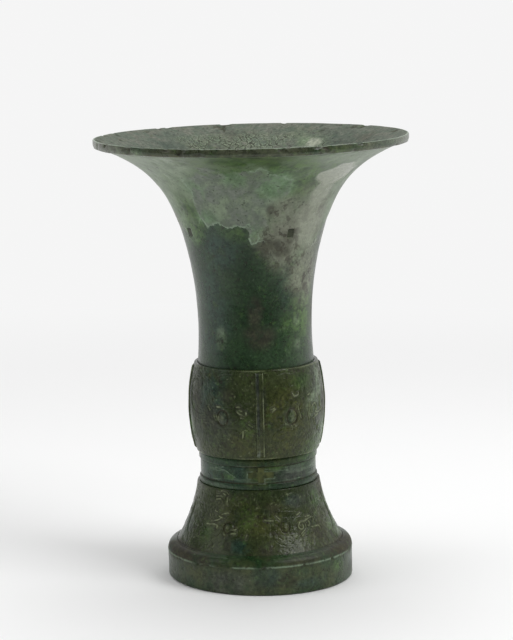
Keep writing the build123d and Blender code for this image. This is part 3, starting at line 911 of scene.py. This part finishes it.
def band_relief(angle, radius, z, kind, place, tones):
    """Unevenness, scratches, raised lines, cut lines along the ridges, and pockets under the crosses."""
    crest, _ = standing_lines(BAND_LINES, BAND_R, angle, z, place)
    seam = cross_outline(angle, radius, z) * smoothstep(-0.4, 0.2, noise(place, 3.5, 48))
    scratch = smoothstep(0.35, 0.6, noise(place * np.array([0.25, 0.25, 2.2]), 3, 49))
    lines = hump(z - LOWER_RIDGE_Z, 0.3) + hump(z - UPPER_RIDGE_Z, 0.3)
    tones["rim"] = by_kind(kind, np.maximum.reduce((0.5 * crest, 0.45 * seam, 0.22 * scratch)))
    at_least(tones, "brown", by_kind(kind, lines))
    plain = 0.07 * rough_noise(place, 7, 2)
    push = by_kind(kind, plain + (0.15 * crest + 0.1 * seam - 0.22 * lines), plain)
    return stood_back(push, cross_pockets(angle, radius, z))


def make_band():
    """The plain band between its two bowstring ridges."""
    lower = [(BAND_R + out, FOOT_TOP_Z + up * LOWER_RIDGE_H) for out, up in RIDGE_SHAPE]
    upper = [(BAND_R + out, UPPER_RIDGE_Z + up * UPPER_RIDGE_H) for out, up in RIDGE_SHAPE]
    runs = (
        ([(BAND_R, BAND_SEAT_Z)], 1.3, JOINT),
        (lower, 0.2, OUT),
        ([(BAND_R, LOWER_RIDGE_Z)], 0.2, OUT),
        (upper, 0.2, OUT),
        ([(BAND_R, BAND_TOP_Z), (REBATE_R, BAND_TOP_Z)], 1.0, JOINT),
        ([(REBATE_R, FLOOR_UNDER_Z)], 1.2, JOINT),
        ([(BAND_IN_R, FLOOR_UNDER_Z)], 2.0, IN),
        ([(BAND_IN_R, BAND_SEAT_Z)], 1.4, JOINT),
    )
    piece = shell("waist_band_wall", runs, {}, around(BAND_COUNT), band_relief)
    placed(piece, "waist_band", "plain_bronze", "dull_bronze")


def foot_relief(angle, radius, z, kind, place, tones):
    """The mask of the foot, and pockets under the chips."""
    height = masked(FOOT_MASK, angle, z, kind, place, tones)
    plain = 0.12 * rough_noise(place, 8, 4)
    pocket = spacer_pockets(angle, radius, z, FOOT_SPACER_DEG, SHOULDER_TOP_Z + FOOT_SPACER_UP)
    return by_kind(kind, stood_back(height, pocket), stood_back(plain, pocket))


def make_foot():
    """The flaring foot, in two halves that meet at the side mould seams."""
    socket_r = BAND_R + FIT_GAP
    runs = (
        ([(FOOT_BOTTOM_R, RING_SEAT_Z)], 0.7, JOINT),
        (arc(FOOT_SIDE), 0.26, OUT),
        ([(FOOT_TOP_R, FOOT_TOP_Z)], 0.4, JOINT),
        ([(socket_r, FOOT_TOP_Z), (socket_r, BAND_SEAT_Z)], 2.0, JOINT),
        ([(BAND_IN_R, BAND_SEAT_Z)], 2.0, IN),
        ([(FOOT_IN_R, RING_SEAT_Z)], 1.4, JOINT),
    )
    make_halves("foot", "foot", runs, {1: 0.3}, FOOT_HALF_COUNT, foot_relief)


def ring_relief(angle, radius, z, kind, place, tones):
    """A worn bead along the top edge, a groove above it, dents and nicks. The standing face is plain."""
    edge = hump(z - RING_H, 0.7) * (radius > SHOULDER_TOP_R)
    nick = smoothstep(0.2, 0.6, rough_noise(place, 4, 6))
    groove = hump(z - RING_H - 1.1, 0.5) * smoothstep(-0.5, 0.5, noise(place, 12, 44))
    # The pale line along the ring's top edge is partly wear and partly a painted highlight.
    tones["rim"] = by_kind(kind, pale_edge_line(z, RING_H + 0.1, place) * (1 - nick))
    at_least(tones, "brown", by_kind(kind, edge * nick))
    plain = DENT * rough_noise(place, 22, 1) + grit(place)
    push = by_kind(kind, plain + (edge * (RING_BEAD - RING_NICK * nick) - RING_GROOVE * groove), plain)
    return push * smoothstep(0.3, 2.5, z)


def cut_level(radius, angle, z):
    """Heights of the ring, stretched so that its foot is level once the casting leans."""
    low = -math.tan(LEAN) * radius * np.sin(np.radians(angle))
    return z + low * np.clip(1 - z / RING_H, 0, 1)


def make_ring():
    """The upright ring with its rounded shoulder, cut level to stand on."""
    socket_r = FOOT_BOTTOM_R + FIT_GAP
    ring_in = RING_R - RING_WALL
    feather = (FOOT_BOTTOM_R, SHOULDER_TOP_Z + FEATHER)
    runs = (
        ([(RING_R, 0)], 0.3, OUT),
        (arc(SHOULDER), 0.3, OUT),
        ([(SHOULDER_TOP_R, SHOULDER_TOP_Z)], 0.3, OUT),
        ([feather, (socket_r, SHOULDER_TOP_Z), (socket_r, RING_SEAT_Z)], 1.2, JOINT),
        ([(FOOT_IN_R, RING_SEAT_Z)], 1.5, IN),
        ([(FOOT_IN_R, RING_SEAT_Z - RING_WALL), (ring_in, RING_H - RING_WALL)], 1.4, IN),
        ([(ring_in, 0)], 0.4, JOINT),
    )
    soft = {0: 0.5, 6: RING_EDGE}
    piece = shell("foot_ring_wall", runs, soft, around(RING_COUNT), ring_relief, settle=cut_level)
    placed(piece, "foot_ring", "plain_bronze", "dull_bronze")


def flange_profile():
    """Outline of a flange from its right side to its left, then its key.

    For each point: place across the flange, height over the barrel, and how far it lies in the main cut."""
    half = FLANGE_W / 2
    across = np.linspace(half, -half, FLANGE_ACROSS)
    crest = FLANGE_PROUD * np.clip(1 - (abs(across) / half) ** 14, 0, 1)
    main_cut = np.exp(-((across + 0.95) / 0.8) ** 4)
    side_cut = hump(across - 0.75, 0.24)
    height = crest - 0.45 * main_cut - 0.25 * side_cut
    return np.append(across, [-half, half]), np.append(height, [-FLANGE_KEY] * 2), np.append(main_cut, [0, 0])


def make_flange(side, middle):
    """One low upright flange with two cut lines along it, keyed into the barrel."""
    across, height, cut = flange_profile()
    z = np.linspace(BAND_TOP_Z + FLANGE_END, BULB_TOP_Z - FLANGE_END, FLANGE_UP)
    fade = np.minimum(1, np.minimum(z - z[0], z[-1] - z) / 0.9 + 0.25)
    wall = radius_on(BULB_SIDE, z)
    upper = smoothstep(0.3, 0.42, (z - z[0]) / (z[-1] - z[0]))
    slot = upper[:, None] * cut
    rise = np.where(height > 0, height * fade[:, None], height) - 0.4 * slot
    turn = math.radians(middle)
    side_way = np.array([math.cos(turn), math.sin(turn)])
    out_way = np.array([math.sin(turn), -math.cos(turn)])
    reach = np.sqrt(np.maximum((wall[:, None] + rise) ** 2 - across ** 2, 1))
    plan = across[:, None] * side_way + reach[..., None] * out_way
    level = np.repeat(z[:, None], len(across), 1)
    place = np.concatenate([plan, level[..., None]], -1)
    worn = 0.10 * rough_noise(place, 5, 15) + 0.12 * np.minimum(0, rough_noise(place, 14, 16))
    plan = plan + (worn * (height > 0))[..., None] * out_way
    rings = leaned(plan[..., 0], plan[..., 1], level)
    angle = np.degrees(np.arctan2(plan[..., 0], -plan[..., 1]))
    fields = tone_fields(angle, wall[:, None] + rise, level, place, OUTSIDE_PATCHES)
    fields["slate"] = kept_depth(9 * (1 - upper[:, None]) * cut - 3)
    at_least(fields, "grey", 1.3 * slot)
    # Pale lines along both edges of the flange's crest, stronger on its right: painted highlights.
    edge = hump(abs(across) - 0.85 * FLANGE_W / 2, 0.3) * (height > 0) * np.where(across > 0, 0.8, 0.5)
    fields["rim"] = edge * smoothstep(-0.4, 0.3, noise(place, 8, 41))
    piece = closed_mesh(f"flange_{side}_rib", rings, False, fields)
    placed(piece, f"flange_{side}", "relief_bronze")


def make_cup_floor():
    """The disc at the bottom of the cup, a little uneven on top."""
    top = np.linspace(FLOOR_MIDDLE_R, FLOOR_R, FLOOR_TOP_RINGS)
    under = np.linspace(FLOOR_R, FLOOR_MIDDLE_R, FLOOR_UNDER_RINGS)
    radii = np.concatenate([top, under])
    levels = np.where(np.arange(len(radii)) < len(top), FLOOR_TOP_Z, FLOOR_UNDER_Z)
    turn = np.radians(around(FLOOR_COUNT))
    x = radii[:, None] * np.sin(turn)
    y = -radii[:, None] * np.cos(turn)
    z = np.repeat(levels[:, None], len(turn), 1)
    place = np.stack([x, y, z], -1)
    free = (radii < FLOOR_R - FLOOR_LEDGE - 0.5) & (levels > BAND_TOP_Z)
    z = z + free[:, None] * 0.25 * rough_noise(place, 7, 4)
    piece = closed_mesh("cup_floor_disc", leaned(x, y, z), False, {"inside": np.ones(z.shape)})
    placed(piece, "cup_floor", "inner_bronze")


# Colours

def srgb(red, green, blue):
    """Linear colour of a screen colour in 0 to 255."""
    parts = [c / 255 for c in (red, green, blue)]
    return tuple(c / 12.92 if c <= 0.04045 else ((c + 0.055) / 1.055) ** 2.4 for c in parts) + (1.0,)


def even_grey(level):
    """Colour with the same level in red, green and blue."""
    return (level, level, level, 1.0)


# Each tone in two shades, dark and light, in the order in which they lie over each other
TONES = {
    "olive": (srgb(44, 50, 21), srgb(66, 70, 32)),
    "teal": (srgb(24, 46, 36), srgb(44, 68, 55)),
    "grey": (srgb(40, 46, 40), srgb(68, 74, 64)),
    "bright": (srgb(36, 64, 22), srgb(76, 104, 50)),
    "slate": (srgb(86, 96, 83), srgb(106, 114, 102)),
    "mint": (srgb(78, 104, 70), srgb(104, 132, 98)),
    "tan": (srgb(94, 98, 81), srgb(114, 119, 101)),
    "pale": (srgb(88, 106, 77), srgb(122, 138, 111)),
    "brown": (srgb(36, 35, 21), srgb(56, 54, 36)),
}
DARK_GREEN = srgb(26, 48, 25)
MID_GREEN = srgb(40, 61, 37)
DARK_OLIVE = srgb(37, 47, 23)
MID_OLIVE = srgb(50, 59, 32)
DARK_BROWN = srgb(30, 27, 18)
SPOT_BROWN = srgb(54, 52, 37)
SUNK_GREEN = srgb(84, 98, 64)
INSIDE_GREEN = srgb(76, 88, 74)
INSIDE_GREY = srgb(98, 100, 89)
PLUG_DARK = srgb(46, 54, 26)
PLUG_LIGHT = srgb(74, 80, 42)
RIM_GREEN = srgb(128, 148, 124)
RIM_OLIVE = srgb(122, 130, 98)
PATINA_AND_HIGHLIGHT_GREY = srgb(138, 144, 126)
CHIP_DARK = srgb(36, 42, 26)
CHIP_LIGHT = srgb(54, 60, 40)


# Materials

# How strongly the layers of the patina cover what lies under them
CRUST_COVER = 0.9
FLECK_COVER = 0.25
SPOT_COVER = 0.85
RIM_COVER = 0.7
PIT_COVER = 0.8
LIFTED_COVER = 0.5
CRACK_COVER = 0.85
SUNK_COVER = 0.6
CRACK_CELL = 3.4          # mm across the cells between cracks
MOTTLE = {"From Min": 0.25, "From Max": 0.75, "To Min": 0.5, "To Max": 1.5}
CRUST_CALM = 0.6          # how far the crust calms the mottle and the grain
BASE_ROUGH = 0.14
CHIP_GLOSS = 0.25


class Tree:
    """Node tree of a material or of the world, with short ways to add nodes to it."""

    def __init__(self, owner):
        owner.use_nodes = True
        self.tree = owner.node_tree
        self.tree.nodes.clear()

    def add(self, kind, inputs=None, **settings):
        """A new shader node with its settings, and its inputs linked or set."""
        made = self.tree.nodes.new("ShaderNode" + kind)
        for key, value in settings.items():
            setattr(made, key, value)
        for key, value in (inputs or {}).items():
            if isinstance(value, bpy.types.NodeSocket):
                self.tree.links.new(value, made.inputs[key])
            else:
                made.inputs[key].default_value = value
        return made

    def sums(self, operation, a, b):
        """Result of a sum on two values."""
        return self.add("Math", {0: a, 1: b}, operation=operation).outputs[0]

    times = functools.partialmethod(sums, "MULTIPLY")
    plus = functools.partialmethod(sums, "ADD")
    minus = functools.partialmethod(sums, "SUBTRACT")
    most = functools.partialmethod(sums, "MAXIMUM")

    def ramp(self, value, low, high):
        """0 to 1 as the value goes from low to high."""
        inputs = {"Value": value, "From Min": low, "From Max": high}
        return self.add("MapRange", inputs, interpolation_type="SMOOTHSTEP").outputs["Result"]

    def mix(self, factor, a, b, **settings):
        """Colour between a and b."""
        return self.add("Mix", {0: factor, 6: a, 7: b}, data_type="RGBA", **settings).outputs[2]

    def over(self, colour, share, strength, top):
        """A colour with another on top, over a share of the surface and as strong as given."""
        return self.mix(self.times(share, strength), colour, top)

    def blend(self, factor, a, b):
        """Shader between a and b."""
        return self.add("MixShader", {0: factor, 1: a.outputs[0], 2: b.outputs[0]})

    def show(self, shader, kind="Material"):
        """The shader becomes what the tree shows."""
        self.add("Output" + kind, {"Surface": shader.outputs[0]})

    def metal(self, colour, gloss, rough, height, strength, depth):
        """Metal of this colour, gloss and roughness, with a grain on it, becomes the surface."""
        bump = self.add("Bump", {"Strength": strength, "Distance": depth * MM, "Height": height})
        inputs = {"Base Color": colour, "Specular IOR Level": gloss, "Roughness": rough}
        self.show(self.add("BsdfPrincipled", dict(inputs, Normal=bump.outputs["Normal"])))

    def field(self, name):
        """Value that the mesh holds under a name."""
        return self.add("Attribute", attribute_name=name).outputs["Fac"]

    def places(self):
        """Places on the object."""
        return self.add("TexCoord").outputs["Object"]

    def glossy_rays(self):
        """1 for what shows by reflection."""
        return self.add("LightPath").outputs["Is Glossy Ray"]

    def shown_rays(self):
        """1 for what the camera sees, straight or by reflection or through glass, and 0 for soft light."""
        rays = self.add("LightPath").outputs
        seen = self.most(rays["Is Camera Ray"], rays["Is Glossy Ray"])
        return self.most(seen, rays["Is Transmission Ray"])

    def texture(self, blob, detail=5.0, rough=0.6):
        """Noise with blobs about this many mm across."""
        inputs = {"Vector": self.places(), "Scale": 1 / (blob * MM), "Detail": detail, "Roughness": rough}
        return self.add("TexNoise", inputs).outputs["Fac"]

    def cracks(self, cell):
        """Thin wandering cracks round cells about this many mm across.

        The first value is 1 in them, and the second also along their edges."""
        where = self.places()
        drift = {"Vector": where, "Scale": 2 / (cell * MM), "Detail": 3.0}
        sway = self.add("TexNoise", drift).outputs["Color"]
        sway = self.add("VectorMath", {0: sway, "Scale": 0.7 * cell * MM}, operation="SCALE").outputs[0]
        bent = self.add("VectorMath", {0: where, 1: sway}, operation="ADD").outputs[0]
        cells = self.add("TexVoronoi", {"Vector": bent, "Scale": 1 / (cell * MM)}, feature="DISTANCE_TO_EDGE")
        away = cells.outputs["Distance"]
        return self.ramp(away, 0.1, 0.04), self.ramp(away, 0.26, 0.12)

    def edged(self, name):
        """Cover of a crust or flake with a frayed edge, and the bright rim behind that edge."""
        fray = self.times(self.minus(self.texture(2.6, 4.0, 0.7), 0.5), 5.0)
        depth = self.plus(self.minus(self.field(name), REACH), fray)
        cover = self.ramp(depth, -0.15, 0.25)
        return cover, self.times(cover, self.ramp(depth, 1.1, 0.4))


def make_patina(name, dark_ground, light_ground, gloss=0.5, high=RIM_GREEN, speckled=0.15):
    """Patinated bronze over a ground of two colours, with the tones, crust and cut lines that the mesh holds.

    High places are worn to the colour high, partly as wear and partly as painted highlights, and speckled
    says how much of that lies in specks, which stand in for glints on small edges."""
    material = bpy.data.materials.new(name)
    tree = Tree(material)
    broad = tree.texture(34)
    patch = tree.texture(9, 6.0, 0.68)
    other = tree.texture(5.5, 6.0, 0.7)
    fine = tree.texture(1.5, 4.0)
    grain = tree.texture(0.5, 3.0)
    within = tree.field("inside")
    colour = tree.mix(tree.ramp(broad, 0.4, 0.6), dark_ground, light_ground)
    colour = tree.mix(within, colour, tree.mix(tree.ramp(other, 0.35, 0.65), INSIDE_GREEN, INSIDE_GREY))
    cover, rims = tree.edged("crust")
    crust = tree.mix(tree.ramp(patch, 0.38, 0.62), *TONES["pale"])
    colour = tree.over(colour, cover, CRUST_COVER, crust)
    bitten = tree.ramp(patch, 0.33, 0.53)
    for tone, shades in TONES.items():
        share = tree.field(tone)
        if tone == "slate":
            share, rim = tree.edged(tone)
            rims = tree.most(rims, rim)
            share = tree.times(share, tree.ramp(patch, 0.66, 0.4))
        elif tone != "tan":
            share = tree.times(share, bitten)
        colour = tree.mix(share, colour, tree.mix(tree.ramp(other, 0.36, 0.64), *shades))
    flecks = tree.ramp(tree.texture(3.6, 5.0, 0.7), 0.58, 0.66)
    colour = tree.over(colour, flecks, FLECK_COVER, TONES["bright"][1])
    spots = tree.times(tree.field("tan"), tree.ramp(tree.texture(4.0), 0.53, 0.58))
    colour = tree.over(colour, spots, SPOT_COVER, SPOT_BROWN)
    rims = tree.most(tree.times(rims, tree.field("edge")), tree.field("rim"))
    colour = tree.over(colour, rims, RIM_COVER, high)
    pits = tree.ramp(tree.texture(2.2, 5.0, 0.7), 0.58, 0.66)
    colour = tree.over(colour, pits, PIT_COVER, DARK_BROWN)
    cracked = tree.field("cracked")
    crack, lifted = tree.cracks(CRACK_CELL)
    colour = tree.over(colour, tree.times(cracked, lifted), LIFTED_COVER, TONES["pale"][1])
    colour = tree.over(colour, tree.times(cracked, crack), CRACK_COVER, DARK_BROWN)
    sunk = tree.times(tree.field("sunk"), tree.ramp(patch, 0.42, 0.62))
    colour = tree.over(colour, sunk, SUNK_COVER, SUNK_GREEN)
    # Pale specks of the colour high: painted glints on small edges
    specks = tree.times(tree.ramp(tree.texture(1.2, 3.0), 0.57, 0.68), tree.ramp(other, 0.48, 0.6))
    colour = tree.over(colour, specks, speckled, high)
    # Smooth pale places, glossier too: pale patina, and on the neck's right partly a painted highlight
    smooth = tree.times(tree.field("smooth_pale"), tree.ramp(other, 0.2, 0.4))
    colour = tree.mix(smooth, colour, PATINA_AND_HIGHLIGHT_GREY)
    mottle = tree.add("MapRange", dict(MOTTLE, Value=fine)).outputs[0]
    uneven = tree.minus(1.0, tree.times(cover, CRUST_CALM))
    colour = tree.mix(uneven, colour, mottle, blend_type="MULTIPLY")
    rough = tree.times(cover, 0.08)
    for part, share in ((within, 0.5), (other, 0.3), (smooth, -0.15), (tree.field("brown"), 0.25)):
        rough = tree.plus(rough, tree.times(part, share))
    height = tree.plus(fine, tree.times(grain, 0.4))
    tree.metal(colour, gloss, tree.plus(rough, BASE_ROUGH), height, tree.times(uneven, 0.4), 0.25)
    return material


def make_metal(name, dark, light, blob):
    """Bronze of one tone in two shades, for the chips and the plugs."""
    material = bpy.data.materials.new(name)
    tree = Tree(material)
    fine = tree.texture(0.8, 4.0)
    colour = tree.mix(tree.ramp(tree.texture(blob), 0.35, 0.65), dark, light)
    colour = tree.mix(tree.ramp(fine, 0.6, 0.75), colour, DARK_BROWN)
    tree.metal(colour, CHIP_GLOSS, tree.plus(tree.ramp(fine, 0.0, 2.5), 0.35), fine, 0.4, 0.2)
    return material


MATERIALS = {
    "plain_bronze": make_patina("plain_bronze_patina", DARK_GREEN, MID_GREEN, 0.45),
    "dull_bronze": make_patina("dull_bronze_patina", DARK_GREEN, MID_GREEN, 0.28),
    "relief_bronze": make_patina("relief_bronze_patina", DARK_OLIVE, MID_OLIVE, 0.28, RIM_OLIVE, 0.4),
    "inner_bronze": make_patina("inner_bronze_patina", INSIDE_GREEN, INSIDE_GREY),
    "spacer_bronze": make_metal("spacer_bronze_dark", CHIP_DARK, CHIP_LIGHT, 2.0),
    "plug_bronze": make_metal("plug_bronze_olive", PLUG_DARK, PLUG_LIGHT, 4.0),
}


# Stage

CAMERA_PLACE = (-2.21, -1170.0, 319.3)
CAMERA_PITCH_DEG = 80.87
LENS = 131.5
SENSOR = 36.0
BACK_WHITE = 0.915        # backdrop
FRONT_DARK = 0.06         # the unlit room in front, as reflections show it
DARK_WAY = (-0.42, -0.91, 0.0)    # towards the middle of the dark, and from where to where it deepens
DARK_REACH = (-0.75, 0.2)
FLOOR_WHITE = 0.88
TABLE_FRONT = 180.0       # how far the lit floor reaches towards the viewer, as reflections show it
SKY_LEVEL = 0.42          # soft light from all round
FADE_FROM = 260.0         # where the floor begins to fade into the backdrop, from the vessel
FADE_TO = 900.0
FLOOR_HALF = 4000.0

# Lamps: name, place, side and power
LAMPS = (
    ("key", (900, -500, 1000), 700, 9.0),
    ("fill", (-1000, -300, 700), 800, 2.6),
    ("top", (0, 300, 1400), 1000, 9.0),
)


def make_world():
    """White all round for the camera and reflections, and a soft even light."""
    world = bpy.data.worlds.new("studio")
    bpy.context.scene.world = world
    tree = Tree(world)
    soft = tree.add("Background", {"Color": even_grey(1), "Strength": SKY_LEVEL})
    way = tree.add("TexCoord").outputs["Generated"]
    front = tree.add("VectorMath", {0: way, 1: DARK_WAY}, operation="DOT_PRODUCT").outputs["Value"]
    front = tree.times(tree.ramp(front, *DARK_REACH), tree.glossy_rays())
    level = tree.minus(BACK_WHITE, tree.times(front, BACK_WHITE - FRONT_DARK))
    white = tree.add("Background", {"Color": even_grey(1), "Strength": level})
    tree.show(tree.blend(tree.shown_rays(), soft, white), "World")


def make_floor():
    """A pale floor that keeps the shadow and fades into the white backdrop."""
    bpy.ops.mesh.primitive_plane_add(size=2 * FLOOR_HALF * MM)
    floor = bpy.context.object
    floor.name = "floor"
    material = bpy.data.materials.new("pale_floor")
    tree = Tree(material)
    paper = tree.add("BsdfDiffuse", {"Color": even_grey(FLOOR_WHITE)})
    white = tree.add("Emission", {"Color": even_grey(BACK_WHITE), "Strength": 1.0})
    dark = tree.add("Emission", {"Color": even_grey(FRONT_DARK), "Strength": 1.0})
    where = tree.places()
    away = tree.add("VectorMath", {0: where}, operation="LENGTH").outputs["Value"]
    far = tree.ramp(away, FADE_FROM * MM, FADE_TO * MM)
    lit = tree.blend(tree.times(far, tree.shown_rays()), paper, white)
    ahead = tree.times(tree.add("SeparateXYZ", {0: where}).outputs["Y"], -1.0)
    ahead = tree.ramp(ahead, TABLE_FRONT * MM, 2 * TABLE_FRONT * MM)
    tree.show(tree.blend(tree.times(ahead, tree.glossy_rays()), lit, dark))
    floor.data.materials.append(material)


def make_lamps():
    """Soft square lamps aimed at the middle of the vessel."""
    middle = np.array([0, 0, HEIGHT / 2])
    for name, place, side, power in LAMPS:
        data = bpy.data.lights.new(name, "AREA")
        data.size = side * MM
        data.energy = power
        lamp = bpy.data.objects.new(name, data)
        bpy.context.scene.collection.objects.link(lamp)
        lamp.location = [c * MM for c in place]
        x, y, z = middle - np.array(place)
        lamp.rotation_euler = (math.atan2(math.hypot(x, y), -z), 0, -math.atan2(x, y))


def make_camera():
    """The photograph's view: a long lens, a little above the mouth."""
    data = bpy.data.cameras.new("camera")
    data.lens = LENS
    data.sensor_fit = "VERTICAL"
    data.sensor_height = SENSOR
    camera = bpy.data.objects.new("camera", data)
    bpy.context.scene.collection.objects.link(camera)
    camera.location = [c * MM for c in CAMERA_PLACE]
    camera.rotation_euler = (math.radians(CAMERA_PITCH_DEG), 0, 0)
    bpy.context.scene.camera = camera


def dress_nodes():
    """The chips and the plugs stay as they are, in their own finish."""
    for part in frame["record"]["subparts"]:
        if part["material_slot"] in ("spacer_bronze", "plug_bronze"):
            data = frame["nodes"][part["node"]].data
            data.materials.clear()
            data.materials.append(MATERIALS[part["material_slot"]])


make_neck()
make_bulb()
for number, side in enumerate(FLANGE_SIDES):
    make_flange(side, FACE_TURN_DEG + 90 * number)
make_cup_floor()
make_band()
make_foot()
make_ring()
dress_nodes()
make_world()
make_floor()
make_lamps()
make_camera()
bpy.context.scene.view_settings.view_transform = "Standard"
